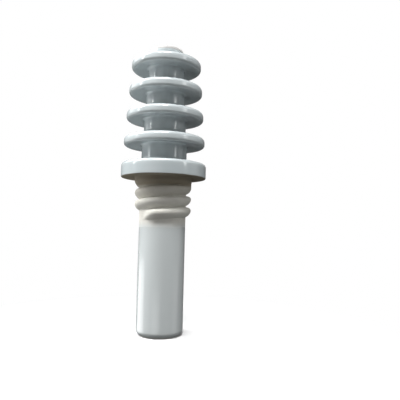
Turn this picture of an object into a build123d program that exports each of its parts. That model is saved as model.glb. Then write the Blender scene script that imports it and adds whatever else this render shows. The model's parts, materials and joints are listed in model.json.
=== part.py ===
"""Porcelain bushing insulator: four sheds, a seating collar, a ribbed neck and a plain stem.

The outside is one fired porcelain body with a bore through it. The conductor and its fittings lie
inside the bore, sunk in a counterbore at each end, so nothing stands out past the porcelain.
Millimetres. Origin at the centre of the foot face, +Z along the axis towards the sheds.
"""

import os
from math import cos, pi, radians, sin, tan

from build123d import *

# Stem, neck and collar of the porcelain
TOTAL_HEIGHT = 337.0
STEM_RADIUS = 27.1
STEM_TOP = 128.0
FOOT_ROUNDING = 6.6
NECK_RADIUS = 27.2  # the ground between the turns of the rib
NECK_BOTTOM = 134.0
NECK_TOP = 170.5
THROAT_RADIUS = 33.4
THROAT_BOTTOM = 176.0
COLLAR_RADIUS = 50.0
COLLAR_SEAT = 181.4  # the flat underside
COLLAR_TOP = 198.6
COLLAR_TOP_ROUNDING = 4.2
COLLAR_SEAT_ROUNDING = 1.0
COLLAR_FILLET = 6.0  # between the collar's top and the core

# Helical rib round the neck, right-handed
RIB_PITCH = 13.2
RIB_SECTION = 5.8  # radius of the rib's round section
RIB_CREST = 33.2
RIB_TIP_ANGLE = -139.0  # where the rib rises out of the stem, from +X
RIB_TIP_HEIGHT = 137.0
RIB_HALF_TURNS = 7
RIB_LAST_ARC = 60.0  # degrees of the last half turn that the rib fills
RIB_CUT_REACH = 7.0  # height that the run-out cut takes to each side of the tip's centreline
RIB_CUT_SINK = 0.3  # depth of the cut's plane below the neck's surface

# Core, sheds and boss
CORE_RADIUS = 26.7  # between the collar and the lowest shed
CORE_STEP = 1.85  # loss of radius above each shed
SHED_COUNT = 4
SHED_PITCH = 30.7
SHED_LOWEST = 224.1  # height of the middle of the lowest rim
SHED_RADIUS = 47.8
SHED_STEP = 2.15  # loss of radius from one shed to the next one up
RIM_THICKNESS = 10.6
RIM_TOP_ROUNDING = 4.6
RIM_UNDER_ROUNDING = 3.0
SHED_TOP_SLOPE = 12.0
SHED_UNDER_SLOPE = 6.0
UNDER_FILLET = 2.5  # where the sheds' undersides meet the core
SHED_FILLET = 5.0  # where the sheds' tops meet the core and the boss
BOSS_RADIUS = 20.1
BOSS_ROUNDING = 4.5

# Bore of the porcelain
BORE_RADIUS = 9.0
HEAD_RECESS_RADIUS = 12.5
HEAD_RECESS_DEPTH = 28.0
FOOT_RECESS_RADIUS = 16.0
FOOT_RECESS_DEPTH = 40.0
RECESS_CHAMFER = 1.0

# Conductor and its terminal head
ROD_RADIUS = 6.0
ROD_SHANK_RADIUS = 5.5
ROD_BOTTOM = 5.0
ROD_THREAD_TOP = 50.0
ROD_HEAD_BOTTOM = 303.0
ROD_CHAMFER = 1.0
LEAD_TAP_RADIUS = 2.5  # tapping size for M6
LEAD_TAP_DEPTH = 14.0
CLEAR_HOLE = 6.3
GASKET_THICKNESS = 3.0
HEAD_RADIUS = 12.0
HEAD_LENGTH = 24.0
HEAD_CHAMFER = 1.0
SOCKET_DEPTH = 9.0
TAP_RADIUS = 5.1  # tapping size for M12
TAP_DEPTH = 12.0
SPANNER_HOLE_RADIUS = 1.5
SPANNER_HOLE_CIRCLE = 8.6
SPANNER_HOLE_DEPTH = 4.0

# Liner tube and centring rings
LINER_INNER = 6.4
LINER_OUTER = 8.2
LINER_BOTTOM = 62.0
LINER_TOP = 291.0
RING_HEIGHT = 8.0
RING_OUTER = 8.9
RING_LIP = 1.2  # height of the lip that centres the liner inside

# Clamping stack at the foot, from the recess's floor down
FOOT_GASKET_RADIUS = 15.5
FOOT_WASHER_RADIUS = 15.0
FOOT_WASHER_THICKNESS = 3.0
SPRING_COUNT = 4
SPRING_OUTER = 14.5
SPRING_INNER = 6.4
SPRING_THICKNESS = 1.0
SPRING_CONE = 0.6
THRUST_WASHER_RADIUS = 12.0
THRUST_WASHER_THICKNESS = 2.5
NUT_FLATS = 18.0
CLAMP_NUT_HEIGHT = 10.0
LOCK_NUT_HEIGHT = 6.0
NUT_CHAMFER_ANGLE = 30.0

HEAD_FLOOR = TOTAL_HEIGHT - HEAD_RECESS_DEPTH
HEAD_BOTTOM = HEAD_FLOOR + GASKET_THICKNESS
HEAD_TOP = HEAD_BOTTOM + HEAD_LENGTH
ROD_TOP = HEAD_BOTTOM + SOCKET_DEPTH
FOOT_GASKET_BOTTOM = FOOT_RECESS_DEPTH - GASKET_THICKNESS
FOOT_WASHER_BOTTOM = FOOT_GASKET_BOTTOM - FOOT_WASHER_THICKNESS
SPRING_HEIGHT = SPRING_THICKNESS + SPRING_CONE
SPRING_BOTTOM = FOOT_WASHER_BOTTOM - SPRING_COUNT * SPRING_HEIGHT
THRUST_WASHER_BOTTOM = SPRING_BOTTOM - THRUST_WASHER_THICKNESS
CLAMP_NUT_BOTTOM = THRUST_WASHER_BOTTOM - CLAMP_NUT_HEIGHT
LOCK_NUT_BOTTOM = CLAMP_NUT_BOTTOM - LOCK_NUT_HEIGHT


def core_radius(index):
    """Radius of the plain stretch of core under one shed, counted from the collar up."""
    return CORE_RADIUS - index * CORE_STEP


def rim_centre(index):
    """Height of the middle of one shed's rim."""
    return SHED_LOWEST + index * SHED_PITCH


def shed_profile(index):
    """Half section of one shed, counted from the collar up: a wedge with a rounded rim."""
    rim = SHED_RADIUS - index * SHED_STEP
    height = rim_centre(index)
    root = BORE_RADIUS  # inside the core
    top_angle = radians(SHED_TOP_SLOPE)
    under_angle = radians(SHED_UNDER_SLOPE)
    top_centre = height + RIM_THICKNESS / 2 - RIM_TOP_ROUNDING
    under_centre = height - RIM_THICKNESS / 2 + RIM_UNDER_ROUNDING
    top = top_centre + RIM_TOP_ROUNDING * tan(pi / 4 - top_angle / 2)
    under = under_centre - RIM_UNDER_ROUNDING * tan(pi / 4 + under_angle / 2)
    top_root = top + (rim - root) * tan(top_angle)
    under_root = under + (rim - root) * tan(under_angle)
    with BuildSketch(mode=Mode.PRIVATE) as profile:
        with BuildLine():
            Polyline((rim, under), (rim, top), (root, top_root), (root, under_root), close=True)
        make_face()
        fillet(profile.vertices().group_by(Axis.X)[-1].sort_by(Axis.Y)[-1], RIM_TOP_ROUNDING)
        fillet(profile.vertices().group_by(Axis.X)[-1].sort_by(Axis.Y)[0], RIM_UNDER_ROUNDING)
    return profile.sketch


def ring(inner, outer, bottom, height):
    """A plain ring about the axis."""
    with BuildPart() as blank:
        with BuildSketch(Plane.XY.offset(bottom)):
            Circle(outer)
            Circle(inner, mode=Mode.SUBTRACT)
        extrude(amount=height)
    return blank.part


def hex_nut(bottom, height):
    """A hexagon nut for the rod, its corners chamfered at both faces."""
    corner = NUT_FLATS / 2 / cos(radians(30))
    flat = NUT_FLATS / 2
    drop = (corner - flat) * tan(radians(NUT_CHAMFER_ANGLE))
    with BuildPart() as nut:
        with BuildSketch(Plane.XY.offset(bottom)):
            RegularPolygon(flat, 6, major_radius=False)
            Circle(ROD_RADIUS, mode=Mode.SUBTRACT)
        extrude(amount=height)
        with BuildSketch(Plane.XZ):
            with BuildLine():
                Polyline(
                    (0, bottom),
                    (flat, bottom),
                    (corner, bottom + drop),
                    (corner, bottom + height - drop),
                    (flat, bottom + height),
                    (0, bottom + height),
                    close=True,
                )
            make_face()
        revolve(axis=Axis.Z, mode=Mode.INTERSECT)
    return nut.part


def finish(part, name):
    """Label a finished piece and write it."""
    part.label = name
    export_step(part, f"parts/{name}.step")


os.makedirs("parts", exist_ok=True)

# The helical rib: a chain of flat half rings, each tilted so that it climbs half a pitch and meets
# the next one level. A plane tangent to the neck cuts the lower end, so that the rib rises out of
# the stem as a ramp. The upper end dies into the throat.
with BuildPart() as rib:
    centreline = RIB_CREST - RIB_SECTION
    for index in range(RIB_HALF_TURNS):
        heading = radians(RIB_TIP_ANGLE + 180 * index)
        outward = Vector(cos(heading), sin(heading), 0)
        backward = Vector(sin(heading), -cos(heading), 0)
        middle = Vector(0, 0, RIB_TIP_HEIGHT + RIB_PITCH * (index / 2 + 1 / 4))
        start = outward * centreline - Vector(0, 0, RIB_PITCH / 4)
        ring_plane = Plane(origin=middle, x_dir=start, z_dir=backward)
        with BuildSketch(ring_plane):
            with Locations((start.length, 0)):
                Circle(RIB_SECTION)
        arc = 180 if index < RIB_HALF_TURNS - 1 else RIB_LAST_ARC
        revolve(axis=Axis(middle, ring_plane.y_dir), revolution_arc=arc)
    tip_plane = Plane.XY.offset(RIB_TIP_HEIGHT - RIB_CUT_REACH).rotated((0, 0, RIB_TIP_ANGLE))
    with BuildSketch(tip_plane):
        with Locations((NECK_RADIUS - RIB_CUT_SINK + RIB_CREST / 2, 0)):
            Rectangle(RIB_CREST, 2 * RIB_CREST)
    extrude(amount=2 * RIB_CUT_REACH, mode=Mode.SUBTRACT)

# The porcelain: one revolved section with the rib added
with BuildPart() as porcelain_body:
    with BuildSketch(Plane.XZ) as section:
        with BuildLine():
            Polyline(
                (0, 0),
                (STEM_RADIUS, 0),
                (STEM_RADIUS, STEM_TOP),
                (NECK_RADIUS, NECK_BOTTOM),
                (NECK_RADIUS, NECK_TOP),
                (THROAT_RADIUS, THROAT_BOTTOM),
                (THROAT_RADIUS, COLLAR_SEAT),
                (COLLAR_RADIUS, COLLAR_SEAT),
                (COLLAR_RADIUS, COLLAR_TOP),
                (0, COLLAR_TOP),
                close=True,
            )
        make_face()
        bottom = COLLAR_TOP
        for index in range(SHED_COUNT):
            with BuildLine():
                Polyline(
                    (0, bottom),
                    (core_radius(index), bottom),
                    (core_radius(index), rim_centre(index)),
                    (0, rim_centre(index)),
                    close=True,
                )
            make_face()
            add(shed_profile(index))
            bottom = rim_centre(index)
        with BuildLine():
            Polyline(
                (0, bottom),
                (BOSS_RADIUS, bottom),
                (BOSS_RADIUS, TOTAL_HEIGHT),
                (0, TOTAL_HEIGHT),
                close=True,
            )
        make_face()
        corners = section.vertices()
        fillet(corners.filter_by_position(Axis.Y, -0.1, 0.1).sort_by(Axis.X)[-1], FOOT_ROUNDING)
        corners = section.vertices()
        fillet(corners.group_by(Axis.X)[-1].sort_by(Axis.Y)[-1], COLLAR_TOP_ROUNDING)
        corners = section.vertices()
        fillet(corners.group_by(Axis.X)[-1].sort_by(Axis.Y)[0], COLLAR_SEAT_ROUNDING)
        corners = section.vertices()
        fillet(
            corners.filter_by_position(Axis.Y, COLLAR_TOP - 0.1, COLLAR_TOP + 0.1).sort_by(Axis.X)[0],
            COLLAR_FILLET,
        )
        corners = section.vertices()
        fillet(corners.sort_by(Axis.Y).group_by(Axis.Y)[-1].sort_by(Axis.X)[-1], BOSS_ROUNDING)
        for index in range(SHED_COUNT):
            height = rim_centre(index)
            below = core_radius(index)
            above = core_radius(index + 1) if index < SHED_COUNT - 1 else BOSS_RADIUS
            corners = section.vertices().filter_by_position(Axis.Y, height - SHED_PITCH / 2, height)
            fillet(corners.filter_by_position(Axis.X, below - 0.1, below + 0.1), UNDER_FILLET)
            corners = section.vertices().filter_by_position(Axis.Y, height, height + SHED_PITCH / 2)
            fillet(corners.filter_by_position(Axis.X, above - 0.1, above + 0.1), SHED_FILLET)
        with Locations((0, TOTAL_HEIGHT / 2)):
            Rectangle(2 * BORE_RADIUS, TOTAL_HEIGHT + 2, mode=Mode.SUBTRACT)
        with BuildLine():
            Polyline(
                (0, TOTAL_HEIGHT),
                (HEAD_RECESS_RADIUS + RECESS_CHAMFER, TOTAL_HEIGHT),
                (HEAD_RECESS_RADIUS, TOTAL_HEIGHT - RECESS_CHAMFER),
                (HEAD_RECESS_RADIUS, HEAD_FLOOR),
                (0, HEAD_FLOOR),
                close=True,
            )
        make_face(mode=Mode.SUBTRACT)
        with BuildLine():
            Polyline(
                (0, 0),
                (FOOT_RECESS_RADIUS + RECESS_CHAMFER, 0),
                (FOOT_RECESS_RADIUS, RECESS_CHAMFER),
                (FOOT_RECESS_RADIUS, FOOT_RECESS_DEPTH),
                (0, FOOT_RECESS_DEPTH),
                close=True,
            )
        make_face(mode=Mode.SUBTRACT)
    revolve(axis=Axis.Z)
    add(rib.part)
finish(porcelain_body.part, "porcelain_body")

# Terminal head: a round brass head with a tapped hole on top, a socket for the rod below and two
# blind holes for a pin spanner
with BuildPart() as terminal_head:
    with BuildSketch(Plane.XY.offset(HEAD_BOTTOM)):
        Circle(HEAD_RADIUS)
    extrude(amount=HEAD_LENGTH)
    chamfer(terminal_head.edges().filter_by(GeomType.CIRCLE), HEAD_CHAMFER)
    with BuildSketch(Plane.XY.offset(HEAD_BOTTOM)):
        Circle(ROD_RADIUS)
    extrude(amount=SOCKET_DEPTH, mode=Mode.SUBTRACT)
    with BuildSketch(Plane.XY.offset(HEAD_TOP)):
        Circle(TAP_RADIUS)
    extrude(amount=-TAP_DEPTH, mode=Mode.SUBTRACT)
    with BuildSketch(Plane.XY.offset(HEAD_TOP)):
        with PolarLocations(SPANNER_HOLE_CIRCLE, 2):
            Circle(SPANNER_HOLE_RADIUS)
    extrude(amount=-SPANNER_HOLE_DEPTH, mode=Mode.SUBTRACT)
finish(terminal_head.part, "terminal_head")

# Conductor rod: a slimmer shank between two threaded ends at full diameter, with a tapped hole in
# the lower end for the inner lead
with BuildPart() as conductor_rod:
    with BuildSketch(Plane.XZ):
        with BuildLine():
            Polyline(
                (0, ROD_BOTTOM),
                (ROD_RADIUS - ROD_CHAMFER, ROD_BOTTOM),
                (ROD_RADIUS, ROD_BOTTOM + ROD_CHAMFER),
                (ROD_RADIUS, ROD_THREAD_TOP),
                (ROD_SHANK_RADIUS, ROD_THREAD_TOP + ROD_CHAMFER),
                (ROD_SHANK_RADIUS, ROD_HEAD_BOTTOM - ROD_CHAMFER),
                (ROD_RADIUS, ROD_HEAD_BOTTOM),
                (ROD_RADIUS, ROD_TOP),
                (0, ROD_TOP),
                close=True,
            )
        make_face()
    revolve(axis=Axis.Z)
    with BuildSketch(Plane.XY.offset(ROD_BOTTOM)):
        Circle(LEAD_TAP_RADIUS)
    extrude(amount=LEAD_TAP_DEPTH, mode=Mode.SUBTRACT)
finish(conductor_rod.part, "conductor_rod")

# Gasket rings under the terminal head and over the foot washer, and the plain washers
finish(ring(CLEAR_HOLE, HEAD_RADIUS, HEAD_FLOOR, GASKET_THICKNESS), "head_gasket")
finish(ring(CLEAR_HOLE, FOOT_GASKET_RADIUS, FOOT_GASKET_BOTTOM, GASKET_THICKNESS), "foot_gasket")
finish(
    ring(CLEAR_HOLE, FOOT_WASHER_RADIUS, FOOT_WASHER_BOTTOM, FOOT_WASHER_THICKNESS), "foot_washer"
)
finish(
    ring(CLEAR_HOLE, THRUST_WASHER_RADIUS, THRUST_WASHER_BOTTOM, THRUST_WASHER_THICKNESS),
    "thrust_washer",
)

# Insulating liner tube round the rod's shank
finish(ring(LINER_INNER, LINER_OUTER, LINER_BOTTOM, LINER_TOP - LINER_BOTTOM), "liner_tube")

# Centring rings: each grips the rod, carries one end of the liner and has a lip inside it
for name, face, way in (
    ("lower_centring_ring", LINER_BOTTOM, -1),
    ("upper_centring_ring", LINER_TOP, 1),
):
    with BuildPart() as centring_ring:
        with BuildSketch(Plane.XY.offset(face)):
            Circle(RING_OUTER)
            Circle(ROD_SHANK_RADIUS, mode=Mode.SUBTRACT)
        extrude(amount=way * RING_HEIGHT)
        with BuildSketch(Plane.XY.offset(face)):
            Circle(LINER_INNER)
            Circle(ROD_SHANK_RADIUS, mode=Mode.SUBTRACT)
        extrude(amount=-way * RING_LIP)
    finish(centring_ring.part, name)

# Disc springs: shallow cones stacked point to point, each a separate solid
with BuildPart() as disc_springs:
    for index in range(SPRING_COUNT):
        base = SPRING_BOTTOM + index * SPRING_HEIGHT
        inner_rise, outer_rise = (SPRING_CONE, 0) if index % 2 == 0 else (0, SPRING_CONE)
        with BuildSketch(Plane.XZ):
            with BuildLine():
                Polyline(
                    (SPRING_OUTER, base + outer_rise),
                    (SPRING_OUTER, base + outer_rise + SPRING_THICKNESS),
                    (SPRING_INNER, base + inner_rise + SPRING_THICKNESS),
                    (SPRING_INNER, base + inner_rise),
                    close=True,
                )
            make_face()
        revolve(axis=Axis.Z)
finish(disc_springs.part, "disc_springs")

# Clamp nut, and the thinner nut that locks it
finish(hex_nut(CLAMP_NUT_BOTTOM, CLAMP_NUT_HEIGHT), "clamp_nut")
finish(hex_nut(LOCK_NUT_BOTTOM, LOCK_NUT_HEIGHT), "lock_nut")
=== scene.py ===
"""Looks of the porcelain bushing insulator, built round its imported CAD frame.

Metres, +Z up the axis, origin at the centre of the stem's foot. Lengths named in millimetres are
turned into metres by MM. The porcelain is one mesh turned round the axis, with the rib on its neck
as part of the surface. The fittings in the bore keep their CAD meshes and get their finishes here.
"""

import json
from math import atan2, cos, degrees, pi, radians, sin, tan

import bpy
from mathutils import Matrix, Vector


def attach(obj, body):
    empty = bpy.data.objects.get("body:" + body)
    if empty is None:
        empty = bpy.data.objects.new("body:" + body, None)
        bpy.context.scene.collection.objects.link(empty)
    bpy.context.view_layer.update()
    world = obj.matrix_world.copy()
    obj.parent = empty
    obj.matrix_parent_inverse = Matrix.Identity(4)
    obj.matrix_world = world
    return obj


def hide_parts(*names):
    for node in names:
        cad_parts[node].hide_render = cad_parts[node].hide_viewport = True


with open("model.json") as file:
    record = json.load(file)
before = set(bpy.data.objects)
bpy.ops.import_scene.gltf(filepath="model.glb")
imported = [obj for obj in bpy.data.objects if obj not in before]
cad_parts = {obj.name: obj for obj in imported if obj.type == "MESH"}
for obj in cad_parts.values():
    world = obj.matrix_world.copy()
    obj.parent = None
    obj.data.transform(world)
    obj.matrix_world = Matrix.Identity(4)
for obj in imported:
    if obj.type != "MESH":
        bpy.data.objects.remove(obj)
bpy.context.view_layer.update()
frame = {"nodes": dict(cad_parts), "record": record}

MM = 0.001

# Porcelain, in millimetres and degrees, as in the CAD model
TOTAL_HEIGHT = 337.0
STEM_RADIUS = 27.1
STEM_TOP = 128.0
STEM_BLEND = 8.0
FOOT_ROUNDING = 6.6
NECK_RADIUS = 27.2
NECK_BOTTOM = 134.0
NECK_TOP = 170.5
NECK_BLEND = 4.0
THROAT_RADIUS = 33.4
THROAT_BOTTOM = 176.0
THROAT_BLEND = 3.0
THROAT_FILLET = 1.0
COLLAR_RADIUS = 50.0
COLLAR_SEAT = 181.4
COLLAR_TOP = 198.6
COLLAR_TOP_ROUNDING = 4.2
COLLAR_SEAT_ROUNDING = 1.0
COLLAR_FILLET = 6.0
CORE_RADIUS = 26.7  # between the collar and the lowest shed
CORE_STEP = 1.85  # loss of radius above each shed
SHED_COUNT = 4
SHED_PITCH = 30.7
SHED_LOWEST = 224.1  # height of the middle of the lowest rim
SHED_RADIUS = 47.8
SHED_STEP = 2.15  # loss of radius from one shed to the next one up
RIM_THICKNESS = 10.6
RIM_TOP_ROUNDING = 4.6
RIM_UNDER_ROUNDING = 3.0
SHED_TOP_SLOPE = 12.0
SHED_UNDER_SLOPE = 6.0
UNDER_FILLET = 2.5  # where the sheds' undersides meet the core
SHED_FILLET = 5.0  # where the sheds' tops meet the core and the boss
BOSS_RADIUS = 20.1
BOSS_ROUNDING = 4.5
BORE_RADIUS = 9.0
HEAD_RECESS_RADIUS = 12.5
HEAD_RECESS_DEPTH = 28.0
FOOT_RECESS_RADIUS = 16.0
FOOT_RECESS_DEPTH = 40.0
MOUTH_ROUNDING = 1.2
BORE_ROUNDING = 0.5
OUTSIDE_RADIUS = FOOT_RECESS_RADIUS + 1  # everything wider than this is outer surface

# Rib round the neck, in millimetres, and degrees of turn counted from its tip
RIB_PITCH = 13.2
RIB_CREST = 33.2  # radius
RIB_SINK = 0.8  # how far the rib's foot is sunk in the neck
RIB_ABOVE = 4.5  # from the crest to the rib's upper edge
RIB_BELOW = 7.2  # from the crest to its lower edge
RIB_POWER_ABOVE = 2.5  # powers of the section's curve: 2 is an ellipse
RIB_POWER_BELOW = 1.6
RIB_TIP_ANGLE = -152.0  # about the axis
RIB_TIP_HEIGHT = 137.9
RIB_SWEEP = 1143.0  # from the tip to the upper end
RIB_TIP_SWEEP = 48.0  # the rib reaches its full size over this
RIB_TIP_LEAN = 4.5  # how far below its full height the crest starts at the tip
RIB_END_SWEEP = 50.0  # the rib dies out over this
RIB_MERGE_START = 783.0  # where the groove over the rib starts to fill up to the throat
RIB_MERGE_SWEEP = 75.0
RIB_BLEND = 1.1  # width of the soft join between rib and neck
RIB_ROOM_BELOW = 6.0  # no rib is looked for lower than this under the neck
RIB_ROOM_ABOVE = 1.0  # nor higher than this under the collar's seat

# Mesh fineness
AROUND = 256
STRAIGHT_STEP = 3.0
NECK_STEP = 0.36
NECK_STEP_FROM = 9.0  # the neck's finer steps start this far under it
ARC_STEP = 12.0  # degrees
FULL_BEND = 40.0  # degrees a corner must turn for its full colour change: run-off glaze and painted highlight on outer corners, pooled glaze and painted shade in hollow ones

# Limits of the glaze, as heights; each fade reaches that far to both sides of its limit
GLAZE_STEM_TOP = 126.0
GLAZE_STEM_FADE = 6.0
GLAZE_COLLAR_BOTTOM = 181.9
GLAZE_BOSS_TOP = 332.6
GLAZE_BOSS_FADE = 0.5
GLAZE_FOOT = 0.9
GLAZE_BORE_RADIUS = 16.9
GLAZE_SHARP_FADE = 0.3
GLAZE_WOBBLE = 2.4  # how unevenly the glaze's limits and the stain with its painted shade run
# the throat's brown stain, darkened further by painted shade under the collar, starts here
STAIN_AND_SHADE_BOTTOM = 171.5
STAIN_AND_SHADE_FADE = 2.0
NECK_SHADE_BOTTOM = 152.0  # painted shade under the collar: the neck darkens from here up to the throat
NECK_SHADE_SHARE = 0.4


# ---- Camera -------------------------------------------------------------------------------------

CAMERA_DISTANCE = 0.5146
CAMERA_HEIGHT = 0.122
CAMERA_YAW = 4.895  # degrees, to the right
CAMERA_PITCH = 3.894  # degrees, upwards
CAMERA_ROLL = 1.318  # degrees
CAMERA_LENS = 39.07
CAMERA_SENSOR = 36.0


def make_camera():
    """A hand-held camera at about half a metre, aimed a little to the right and slightly upwards."""
    camera = bpy.data.objects.new("camera", bpy.data.cameras.new("camera"))
    bpy.context.scene.collection.objects.link(camera)
    turn = Matrix.Rotation(-radians(CAMERA_YAW), 4, "Z")
    tilt = Matrix.Rotation(pi / 2 + radians(CAMERA_PITCH), 4, "X")
    roll = Matrix.Rotation(radians(CAMERA_ROLL), 4, "Z")
    place = Matrix.Translation((0, -CAMERA_DISTANCE, CAMERA_HEIGHT))
    camera.matrix_world = place @ turn @ tilt @ roll
    camera.data.lens = CAMERA_LENS
    camera.data.sensor_width = CAMERA_SENSOR
    camera.data.clip_start = 0.01
    bpy.context.scene.camera = camera


# ---- Porcelain mesh -----------------------------------------------------------------------------


def core_radius(index):
    """Radius of the core under one shed. Each stretch of core is plain and smaller than the last."""
    return CORE_RADIUS - index * CORE_STEP


def shed_corners(index):
    """Corners (radius, height, rounding) of one shed's outline, from its underside up."""
    rim = SHED_RADIUS - index * SHED_STEP
    height = SHED_LOWEST + index * SHED_PITCH
    top, under = radians(SHED_TOP_SLOPE), radians(SHED_UNDER_SLOPE)
    upper_centre = height + RIM_THICKNESS / 2 - RIM_TOP_ROUNDING
    lower_centre = height - RIM_THICKNESS / 2 + RIM_UNDER_ROUNDING
    top_edge = upper_centre + RIM_TOP_ROUNDING * tan(pi / 4 - top / 2)
    under_edge = lower_centre - RIM_UNDER_ROUNDING * tan(pi / 4 + under / 2)

    def under_at(radius):
        return under_edge + (rim - radius) * tan(under)

    def top_at(radius):
        return top_edge + (rim - radius) * tan(top)

    below = core_radius(index)
    above = core_radius(index + 1) if index < SHED_COUNT - 1 else BOSS_RADIUS
    corners = [(below, under_at(below), UNDER_FILLET)]
    corners += [(rim, under_edge, RIM_UNDER_ROUNDING), (rim, top_edge, RIM_TOP_ROUNDING)]
    corners += [(above, top_at(above), SHED_FILLET)]
    return corners


def outline_corners():
    """Corners (radius, height, rounding) of the whole half section, from the foot's inner edge
    out and up, over the boss and down the bore."""
    corners = [
        (FOOT_RECESS_RADIUS, 0, MOUTH_ROUNDING),
        (STEM_RADIUS, 0, FOOT_ROUNDING),
        (STEM_RADIUS, STEM_TOP, STEM_BLEND),
        (NECK_RADIUS, NECK_BOTTOM, NECK_BLEND),
        (NECK_RADIUS, NECK_TOP, NECK_BLEND),
        (THROAT_RADIUS, THROAT_BOTTOM, THROAT_BLEND),
        (THROAT_RADIUS, COLLAR_SEAT, THROAT_FILLET),
        (COLLAR_RADIUS, COLLAR_SEAT, COLLAR_SEAT_ROUNDING),
        (COLLAR_RADIUS, COLLAR_TOP, COLLAR_TOP_ROUNDING),
        (CORE_RADIUS, COLLAR_TOP, COLLAR_FILLET),
    ]
    for index in range(SHED_COUNT):
        corners += shed_corners(index)
    corners += [
        (BOSS_RADIUS, TOTAL_HEIGHT, BOSS_ROUNDING),
        (HEAD_RECESS_RADIUS, TOTAL_HEIGHT, MOUTH_ROUNDING),
        (HEAD_RECESS_RADIUS, TOTAL_HEIGHT - HEAD_RECESS_DEPTH, BORE_ROUNDING),
        (BORE_RADIUS, TOTAL_HEIGHT - HEAD_RECESS_DEPTH, BORE_ROUNDING),
        (BORE_RADIUS, FOOT_RECESS_DEPTH, BORE_ROUNDING),
        (FOOT_RECESS_RADIUS, FOOT_RECESS_DEPTH, BORE_ROUNDING),
    ]
    return corners


def rounded_outline(corners):
    """Closed list of (radius, height, bend): corners become arcs, straights are divided. bend is
    up to 1 on an arc that stands out of the body, down to -1 on a hollow one and 0 on a straight."""
    pieces = []
    for index, (radius, height, rounding) in enumerate(corners):
        here = Vector((radius, height))
        before = Vector(corners[index - 1][:2])
        after = Vector(corners[(index + 1) % len(corners)][:2])
        way_in = (here - before).normalized()
        way_out = (after - here).normalized()
        cross = way_in.x * way_out.y - way_in.y * way_out.x
        turn = atan2(cross, way_in.dot(way_out))
        reach = rounding * tan(abs(turn) / 2)
        start = here - way_in * reach
        side = Vector((-way_in.y, way_in.x)) * (1 if turn > 0 else -1)
        centre = start + side * rounding
        steps = max(2, round(abs(degrees(turn)) / ARC_STEP))
        spoke = start - centre
        arc = []
        for step in range(steps + 1):
            angle = turn * step / steps
            x = spoke.x * cos(angle) - spoke.y * sin(angle)
            y = spoke.x * sin(angle) + spoke.y * cos(angle)
            arc.append(centre + Vector((x, y)))
        pieces.append((arc, min(max(degrees(turn) / FULL_BEND, -1), 1)))
    outline = []
    for index, (arc, bend) in enumerate(pieces):
        outline += [(p.x, p.y, bend) for p in arc]
        end, start = arc[-1], pieces[(index + 1) % len(pieces)][0][0]
        on_neck = min(end.x, start.x) > OUTSIDE_RADIUS and NECK_BOTTOM - NECK_STEP_FROM < end.y < COLLAR_SEAT
        count = max(1, round((start - end).length / (NECK_STEP if on_neck else STRAIGHT_STEP)))
        for step in range(1, count):
            point = end.lerp(start, step / count)
            outline.append((point.x, point.y, 0))
    return outline


def smooth_max(a, b, width):
    """The larger of two lengths, rounded where they are nearly equal."""
    share = max(width - abs(a - b), 0) / width
    return max(a, b) + share * share * width / 4


def ease(value):
    """0 to 1, smooth at both ends."""
    value = min(max(value, 0), 1)
    return value * value * (3 - 2 * value)


def rib_radius(angle, height):
    """Radius of the rib's surface, or 0 where there is none. angle is in degrees from the tip."""
    best = 0
    for turn in range(int(RIB_SWEEP // 360) + 1):
        sweep = angle + 360 * turn
        if sweep > RIB_SWEEP:
            continue
        offset = height - RIB_TIP_HEIGHT - RIB_PITCH * sweep / 360
        start = ease(sweep / RIB_TIP_SWEEP)
        crest = -RIB_TIP_LEAN * (1 - start)
        across = (offset - crest) / (RIB_ABOVE - crest if offset > crest else RIB_BELOW + crest)
        merge = ease((sweep - RIB_MERGE_START) / RIB_MERGE_SWEEP) if offset > 0 else 0
        if offset <= -RIB_BELOW or (offset >= RIB_ABOVE and merge == 0):
            continue
        power = RIB_POWER_ABOVE if across > 0 else RIB_POWER_BELOW
        section = max(1 - abs(across) ** power, 0) ** (1 / power)
        bulge = max(section, merge)
        strength = start * ease((RIB_SWEEP - sweep) / RIB_END_SWEEP)
        full = RIB_CREST - NECK_RADIUS + RIB_SINK
        best = max(best, NECK_RADIUS - RIB_SINK + full * bulge * strength)
    return best


def porcelain_mesh():
    """The turned body with its rib, as one closed mesh with a bend attribute for its glaze colour, painted
    shade and painted highlight.
    """
    outline = rounded_outline(outline_corners())
    rows = len(outline)
    points, bends = [], []
    for spoke in range(AROUND):
        angle = 2 * pi * spoke / AROUND
        from_tip = (degrees(angle) - RIB_TIP_ANGLE) % 360
        for radius, height, bend in outline:
            in_reach = NECK_BOTTOM - RIB_ROOM_BELOW < height < COLLAR_SEAT - RIB_ROOM_ABOVE
            if radius > OUTSIDE_RADIUS and in_reach:
                rib = rib_radius(from_tip, height)
                if rib > 0:
                    radius = smooth_max(radius, rib, RIB_BLEND)
            points.append((radius * cos(angle) * MM, radius * sin(angle) * MM, height * MM))
            bends.append(bend)
    faces = []
    for spoke in range(AROUND):
        here, beyond = spoke * rows, (spoke + 1) % AROUND * rows
        for row in range(rows):
            above = (row + 1) % rows
            faces.append((here + row, beyond + row, beyond + above, here + above))
    mesh = bpy.data.meshes.new("porcelain")
    mesh.from_pydata(points, [], faces)
    mesh.attributes.new("bend", "FLOAT", "POINT").data.foreach_set("value", bends)
    mesh.shade_smooth()
    return mesh


# ---- Materials ----------------------------------------------------------------------------------


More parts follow.
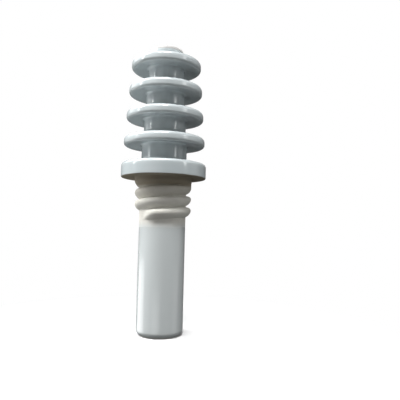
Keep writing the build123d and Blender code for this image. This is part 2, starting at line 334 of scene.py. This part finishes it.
class Nodes:
    """Short names for building one material's node tree."""

    def __init__(self, name):
        self.material = bpy.data.materials.new(name)
        self.material.use_nodes = True
        self.tree = self.material.node_tree
        self.shader = self.tree.nodes["Principled BSDF"]
        self.coords = self.tree.nodes.new("ShaderNodeTexCoord").outputs["Object"]

    def link(self, source, target):
        if isinstance(source, (int, float)):
            target.default_value = source
        elif isinstance(source, tuple):
            target.default_value = (*source, 1.0)[: len(target.default_value)]
        else:
            self.tree.links.new(source, target)

    def math(self, operation, a, b=0.0, c=0.0, clamp=False):
        node = self.tree.nodes.new("ShaderNodeMath")
        node.operation = operation
        node.use_clamp = clamp
        for value, socket in zip((a, b, c), node.inputs):
            self.link(value, socket)
        return node.outputs[0]

    def ramp(self, value, low, high, out_low=0.0, out_high=1.0):
        """Smooth step of value between low and high."""
        node = self.tree.nodes.new("ShaderNodeMapRange")
        node.interpolation_type = "SMOOTHSTEP"
        self.link(value, node.inputs["Value"])
        limits = {"From Min": low, "From Max": high, "To Min": out_low, "To Max": out_high}
        for name, number in limits.items():
            node.inputs[name].default_value = number
        return node.outputs["Result"]

    def noise(self, scale, detail=3.0, roughness=0.5, stretch=(1, 1, 1), offset=(0, 0, 0)):
        mapping = self.tree.nodes.new("ShaderNodeMapping")
        mapping.inputs["Scale"].default_value = stretch
        mapping.inputs["Location"].default_value = offset
        self.link(self.coords, mapping.inputs["Vector"])
        node = self.tree.nodes.new("ShaderNodeTexNoise")
        node.inputs["Scale"].default_value = scale
        node.inputs["Detail"].default_value = detail
        node.inputs["Roughness"].default_value = roughness
        self.link(mapping.outputs["Vector"], node.inputs["Vector"])
        return node.outputs["Fac"]

    def mix(self, share, a, b):
        node = self.tree.nodes.new("ShaderNodeMix")
        node.data_type = "RGBA"
        self.link(share, node.inputs["Factor"])
        self.link(a, node.inputs[6])  # the colour sockets of this node share their names with others
        self.link(b, node.inputs[7])
        return node.outputs[2]

    def bump(self, height, distance, strength=1.0, normal=None):
        node = self.tree.nodes.new("ShaderNodeBump")
        node.inputs["Strength"].default_value = strength
        node.inputs["Distance"].default_value = distance
        self.link(height, node.inputs["Height"])
        if normal is not None:
            self.link(normal, node.inputs["Normal"])
        return node.outputs["Normal"]

    def axis_coords(self):
        """(radius, height) of the shaded point about the part's axis."""
        split = self.tree.nodes.new("ShaderNodeSeparateXYZ")
        self.link(self.coords, split.inputs[0])
        x, y, z = split.outputs
        squares = self.math("ADD", self.math("MULTIPLY", x, x), self.math("MULTIPLY", y, y))
        return self.math("SQRT", squares), z


GLAZE_COLOUR = (0.43, 0.47, 0.48)
GLAZE_DEEP = (0.38, 0.43, 0.445)
# paler glaze on rounded edges: thin glaze and painted highlight
GLAZE_THIN_AND_LIT = (0.53, 0.56, 0.56)
GLAZE_STEM = (0.49, 0.52, 0.52)  # paler below the collar: thinner glaze and painted light
GLAZE_SPECK = (0.2, 0.19, 0.17)
BISQUE_COLOUR = (0.61, 0.60, 0.55)
BISQUE_SHADE = (0.49, 0.47, 0.42)
# brown stain on the throat, darkened further as painted shade under the collar
THROAT_COLOUR = (0.24, 0.21, 0.155)
BOSS_COLOUR = (0.39, 0.385, 0.375)
GRAIN_COLOUR = (0.42, 0.39, 0.33)

# Roughness, and depths of the fine surface in millimetres
GLAZE_ROUGHNESS = 0.13
GLAZE_SMEAR = 0.07
BARE_ROUGHNESS = 0.72
BARE_GRIME = 0.12
PEEL_DEPTH = 0.05
RIPPLE_DEPTH = 0.25
GRAIN_DEPTH = 0.12
GLAZE_THICKNESS = 0.12
GLAZE_IOR = 1.5


def porcelain_material():
    """Glaze and bare porcelain in one material, told apart by height and radius."""
    m = Nodes("porcelain")
    radius, height = m.axis_coords()
    wobble = m.math("MULTIPLY", m.math("SUBTRACT", m.noise(55, 2), 0.5), GLAZE_WOBBLE * MM)
    edge = m.math("ADD", height, wobble)

    def passed(value, limit, fade, below=0, above=1):
        """From one value to the other as value passes the limit."""
        return m.ramp(value, (limit - fade) * MM, (limit + fade) * MM, below, above)

    on_neck = m.math(
        "MULTIPLY",
        passed(edge, GLAZE_STEM_TOP, GLAZE_STEM_FADE),
        passed(height, GLAZE_COLLAR_BOTTOM, GLAZE_SHARP_FADE, 1, 0),
    )
    on_boss = passed(edge, GLAZE_BOSS_TOP, GLAZE_BOSS_FADE)
    on_foot = passed(height, GLAZE_FOOT, GLAZE_SHARP_FADE, 1, 0)
    inside = passed(radius, GLAZE_BORE_RADIUS, GLAZE_SHARP_FADE, 1, 0)
    bare = m.math("MAXIMUM", m.math("MAXIMUM", on_neck, on_boss), m.math("MAXIMUM", on_foot, inside))

    bend = m.tree.nodes.new("ShaderNodeAttribute")
    bend.attribute_name = "bend"
    # hollow corners: darker pooled glaze and painted shade; rounded edges: paler thin glaze and painted
    # highlight
    pooled_and_shaded = m.math("MULTIPLY", bend.outputs["Fac"], -1.0, clamp=True)
    thinned_and_lit = m.math("MULTIPLY", bend.outputs["Fac"], 1.0, clamp=True)

    cloud = m.ramp(m.noise(38, 3), 0.35, 0.65)
    glaze = m.mix(m.math("MULTIPLY", cloud, 0.45), GLAZE_COLOUR, GLAZE_DEEP)
    # the stem below the collar is paler: thinner glaze and painted light
    on_stem = m.ramp(height, COLLAR_SEAT * MM, NECK_BOTTOM * MM)
    glaze = m.mix(m.math("MULTIPLY", on_stem, 0.9), glaze, GLAZE_STEM)
    glaze = m.mix(m.math("MULTIPLY", pooled_and_shaded, 0.35), glaze, GLAZE_DEEP)
    glaze = m.mix(m.math("MULTIPLY", thinned_and_lit, 0.22), glaze, GLAZE_THIN_AND_LIT)
    speck = m.ramp(m.noise(900, 1, offset=(3, 1, 2)), 0.775, 0.80)
    glaze = m.mix(m.math("MULTIPLY", speck, 0.35), glaze, GLAZE_SPECK)

    grime = m.ramp(m.noise(70, 5, 0.65, (1, 1, 1.8)), 0.42, 0.75)
    bisque = m.mix(m.math("MULTIPLY", grime, 0.55), BISQUE_COLOUR, BISQUE_SHADE)
    # painted shade: the neck darkens up towards the collar over it
    neck_shade = m.ramp(edge, NECK_SHADE_BOTTOM * MM, STAIN_AND_SHADE_BOTTOM * MM, 0, NECK_SHADE_SHARE)
    bisque = m.mix(neck_shade, bisque, THROAT_COLOUR)
    # brown stain and painted shade under the collar on the throat
    bisque = m.mix(passed(edge, STAIN_AND_SHADE_BOTTOM, STAIN_AND_SHADE_FADE), bisque, THROAT_COLOUR)
    bisque = m.mix(on_boss, bisque, BOSS_COLOUR)
    grain = m.noise(2600, 2)
    bisque = m.mix(m.ramp(grain, 0.62, 0.8, 0, 0.25), bisque, GRAIN_COLOUR)
    m.link(m.mix(bare, glaze, bisque), m.shader.inputs["Base Color"])

    smear = m.ramp(m.noise(60, 4, 0.6, (1, 1, 0.4)), 0.4, 0.7)
    glaze_rough = m.math("MULTIPLY_ADD", smear, GLAZE_SMEAR, GLAZE_ROUGHNESS)
    bare_rough = m.math("MULTIPLY_ADD", grime, BARE_GRIME, BARE_ROUGHNESS)
    gap = m.math("SUBTRACT", bare_rough, glaze_rough)
    m.link(m.math("MULTIPLY_ADD", gap, bare, glaze_rough), m.shader.inputs["Roughness"])

    peel = m.noise(260, 2, 0.4)
    ripple = m.noise(30, 2, 0.5, (0.5, 0.5, 6))
    step = m.math("MULTIPLY", bare, -1.0)
    normal = m.bump(peel, PEEL_DEPTH * MM, 0.25)
    normal = m.bump(ripple, RIPPLE_DEPTH * MM, 0.35, normal)
    normal = m.bump(m.math("MULTIPLY", grain, bare), GRAIN_DEPTH * MM, 0.5, normal)
    normal = m.bump(step, GLAZE_THICKNESS * MM, 0.6, normal)
    m.link(normal, m.shader.inputs["Normal"])
    m.shader.inputs["IOR"].default_value = GLAZE_IOR
    return m.material


# Fittings: clean and stained colours, roughness
BRASS = ((0.74, 0.73, 0.69), (0.5, 0.46, 0.36), 0.28)  # tin-plated
COPPER = ((0.78, 0.45, 0.31), (0.42, 0.22, 0.14), 0.3)
SPRING_STEEL = ((0.40, 0.41, 0.43), (0.2, 0.19, 0.18), 0.3)
RUBBER_BLACK, RUBBER_DUSTY = (0.02, 0.02, 0.022), (0.09, 0.088, 0.085)
PHENOLIC_DARK, PHENOLIC_LIGHT = (0.30, 0.15, 0.065), (0.46, 0.26, 0.12)
TURNING_PITCH = 0.32  # millimetres from one turning ring to the next
TURNING_DEPTH = 0.012
STEEL_DEPTH = 0.02
RUBBER_DEPTH = 0.03
PHENOLIC_DEPTH = 0.03


def metal_material(name, colour, shade, roughness, turned=True):
    """Machined metal: fine turning rings or plain, with stains and uneven polish."""
    m = Nodes(name)
    radius, height = m.axis_coords()
    stain = m.ramp(m.noise(160, 4, 0.6), 0.4, 0.72)
    m.link(m.mix(m.math("MULTIPLY", stain, 0.6), colour, shade), m.shader.inputs["Base Color"])
    turns = m.math("MULTIPLY", m.math("ADD", radius, height), 2 * pi / (TURNING_PITCH * MM))
    if turned:
        normal = m.bump(m.math("SINE", turns), TURNING_DEPTH * MM, 0.35)
    else:
        normal = m.bump(m.noise(1400, 2), STEEL_DEPTH * MM, 0.4)
    m.link(normal, m.shader.inputs["Normal"])
    m.link(m.math("MULTIPLY_ADD", stain, 0.2, roughness), m.shader.inputs["Roughness"])
    m.shader.inputs["Metallic"].default_value = 1.0
    return m.material


def rubber_material():
    """Black gasket rubber with a bloom of dust."""
    m = Nodes("nitrile")
    bloom = m.ramp(m.noise(300, 5, 0.7), 0.4, 0.8)
    colour = m.mix(m.math("MULTIPLY", bloom, 0.6), RUBBER_BLACK, RUBBER_DUSTY)
    m.link(colour, m.shader.inputs["Base Color"])
    m.link(m.math("MULTIPLY_ADD", bloom, 0.2, 0.6), m.shader.inputs["Roughness"])
    m.link(m.bump(m.noise(1800, 2), RUBBER_DEPTH * MM, 0.5), m.shader.inputs["Normal"])
    return m.material


def phenolic_material():
    """Laminated phenolic paper: brown, with wound layers along the tube."""
    m = Nodes("phenolic")
    layers = m.noise(500, 3, 0.5, (1, 1, 0.05))
    colour = m.mix(m.ramp(layers, 0.35, 0.65), PHENOLIC_DARK, PHENOLIC_LIGHT)
    m.link(colour, m.shader.inputs["Base Color"])
    m.link(m.math("MULTIPLY_ADD", layers, 0.15, 0.42), m.shader.inputs["Roughness"])
    m.link(m.bump(layers, PHENOLIC_DEPTH * MM, 0.4), m.shader.inputs["Normal"])
    return m.material


def finish_fittings():
    """Gives every CAD node that still shows its slot's material."""
    materials = {
        "tinned_brass": metal_material("tinned_brass", *BRASS),
        "copper": metal_material("copper", *COPPER),
        "spring_steel": metal_material("spring_steel", *SPRING_STEEL, turned=False),
        "phenolic": phenolic_material(),
        "nitrile": rubber_material(),
    }
    for entry in frame["record"]["subparts"]:
        node = frame["nodes"][entry["node"]]
        if entry["material_slot"] in materials:
            node.data.materials.clear()
            node.data.materials.append(materials[entry["material_slot"]])


# ---- Stage --------------------------------------------------------------------------------------

FLOOR_HALF = 40.0
FLOOR_DROP = 0.0002
FLOOR_WHITE = 0.75
FLOOR_ROUGHNESS = 0.9
FLOOR_NEAR = 0.05  # the floor starts to run out into white here
FLOOR_FAR = 0.30


def floor_material():
    """Pale matt floor near the part, running out into plain white."""
    m = Nodes("floor")
    m.shader.inputs["Base Color"].default_value = (FLOOR_WHITE, FLOOR_WHITE, FLOOR_WHITE, 1)
    m.shader.inputs["Roughness"].default_value = FLOOR_ROUGHNESS
    m.shader.inputs["Specular IOR Level"].default_value = 0.0
    radius, _ = m.axis_coords()
    glow = m.tree.nodes.new("ShaderNodeEmission")
    mix = m.tree.nodes.new("ShaderNodeMixShader")
    m.link(m.ramp(radius, FLOOR_NEAR, FLOOR_FAR), mix.inputs["Fac"])
    m.link(m.shader.outputs["BSDF"], mix.inputs[1])
    m.link(glow.outputs["Emission"], mix.inputs[2])
    m.link(mix.outputs["Shader"], m.tree.nodes["Material Output"].inputs["Surface"])
    return m.material


def make_floor():
    """A plain pale floor under the foot."""
    mesh = bpy.data.meshes.new("floor")
    corners = ((-1, -1), (1, -1), (1, 1), (-1, 1))
    points = [(x * FLOOR_HALF, y * FLOOR_HALF, -FLOOR_DROP) for x, y in corners]
    mesh.from_pydata(points, [], [(0, 1, 2, 3)])
    floor_object = bpy.data.objects.new("floor", mesh)
    bpy.context.scene.collection.objects.link(floor_object)
    mesh.materials.append(floor_material())
    for name in ("visible_diffuse", "visible_glossy", "visible_shadow"):
        setattr(floor_object, name, False)


BACKDROP_RADIUS = 38.0
BACKDROP_HEIGHT = 40.0
BACKDROP_FOOT = -0.5
BACKDROP_SIDES = 48


def make_backdrop():
    """A white round wall behind everything, which only the camera sees."""
    mesh = bpy.data.meshes.new("backdrop")
    sides = BACKDROP_SIDES
    angles = [2 * pi * i / sides for i in range(sides)]
    ring = [(BACKDROP_RADIUS * cos(a), BACKDROP_RADIUS * sin(a)) for a in angles]
    points = [(x, y, BACKDROP_FOOT) for x, y in ring] + [(x, y, BACKDROP_HEIGHT) for x, y in ring]
    points += [(0, 0, BACKDROP_HEIGHT)]
    faces = [(i, (i + 1) % sides, (i + 1) % sides + sides, i + sides) for i in range(sides)]
    faces += [(i + sides, (i + 1) % sides + sides, 2 * sides) for i in range(sides)]
    mesh.from_pydata(points, [], faces)
    wall = bpy.data.objects.new("backdrop", mesh)
    bpy.context.scene.collection.objects.link(wall)
    material = bpy.data.materials.new("backdrop")
    material.use_nodes = True
    nodes = material.node_tree.nodes
    nodes.clear()
    glow = nodes.new("ShaderNodeEmission")
    glow.inputs["Strength"].default_value = 1.0
    output = nodes.new("ShaderNodeOutputMaterial")
    material.node_tree.links.new(glow.outputs[0], output.inputs["Surface"])
    mesh.materials.append(material)
    for name in ("visible_diffuse", "visible_glossy", "visible_transmission", "visible_shadow"):
        setattr(wall, name, False)


LIGHTS = (
    # name, azimuth from the camera's side towards the right, elevation, width, height, power
    ("key", 0, 63, 0.35, 0.35, 30.0),
    ("key_left", -30, 60, 0.35, 0.35, 10.0),
    ("left_high", -90, 45, 0.8, 0.8, 34.0),
    ("left_back_high", -135, 45, 1.3, 0.8, 7.0),
    ("right_high", 80, 45, 0.8, 0.8, 4.0),
    ("front_left", -45, 25, 0.8, 0.6, 1.6),
    ("left_low", -112, 24, 0.9, 0.6, 4.0),
    ("left_below", -110, -20, 1.4, 0.7, 11.5),
    ("front_below", -20, -25, 1.0, 0.7, 3.8),
    ("right_below", 80, -20, 0.9, 0.7, 1.8),
    ("right_side", 90, 5, 0.7, 0.7, 1.0),
    ("left_window", -84, 20, 0.12, 0.67, 5.4),
    ("right_window", 58, 20, 0.28, 0.67, 4.1),
)
LIGHT_DISTANCE = 1.7
AIM = (0, 0, 0.2)
ROOM_LIGHT = 0.085


def make_lights():
    """Soft panels on a sphere round the part, and a dim even room."""
    for name, azimuth, elevation, width, height, power in LIGHTS:
        data = bpy.data.lights.new(name, "AREA")
        data.shape = "RECTANGLE"
        data.size, data.size_y = width, height
        data.energy = power
        lamp = bpy.data.objects.new(name, data)
        bpy.context.scene.collection.objects.link(lamp)
        a, e = radians(azimuth), radians(elevation)
        way = Vector((sin(a) * cos(e), -cos(a) * cos(e), sin(e)))
        lamp.location = Vector(AIM) + way * LIGHT_DISTANCE
        lamp.rotation_euler = way.to_track_quat("Z", "Y").to_euler()
    world = bpy.data.worlds.new("room")
    bpy.context.scene.world = world
    world.use_nodes = True
    background = world.node_tree.nodes["Background"]
    background.inputs["Color"].default_value = (1, 1, 1, 1)
    background.inputs["Strength"].default_value = ROOM_LIGHT


# ---- Put together -------------------------------------------------------------------------------

make_camera()
body = bpy.data.objects.new("porcelain", porcelain_mesh())
bpy.context.scene.collection.objects.link(body)
body.data.materials.append(porcelain_material())
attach(body, "root")
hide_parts("porcelain_body")
finish_fittings()
make_floor()
make_backdrop()
make_lights()
bpy.context.scene.view_settings.view_transform = "Standard"
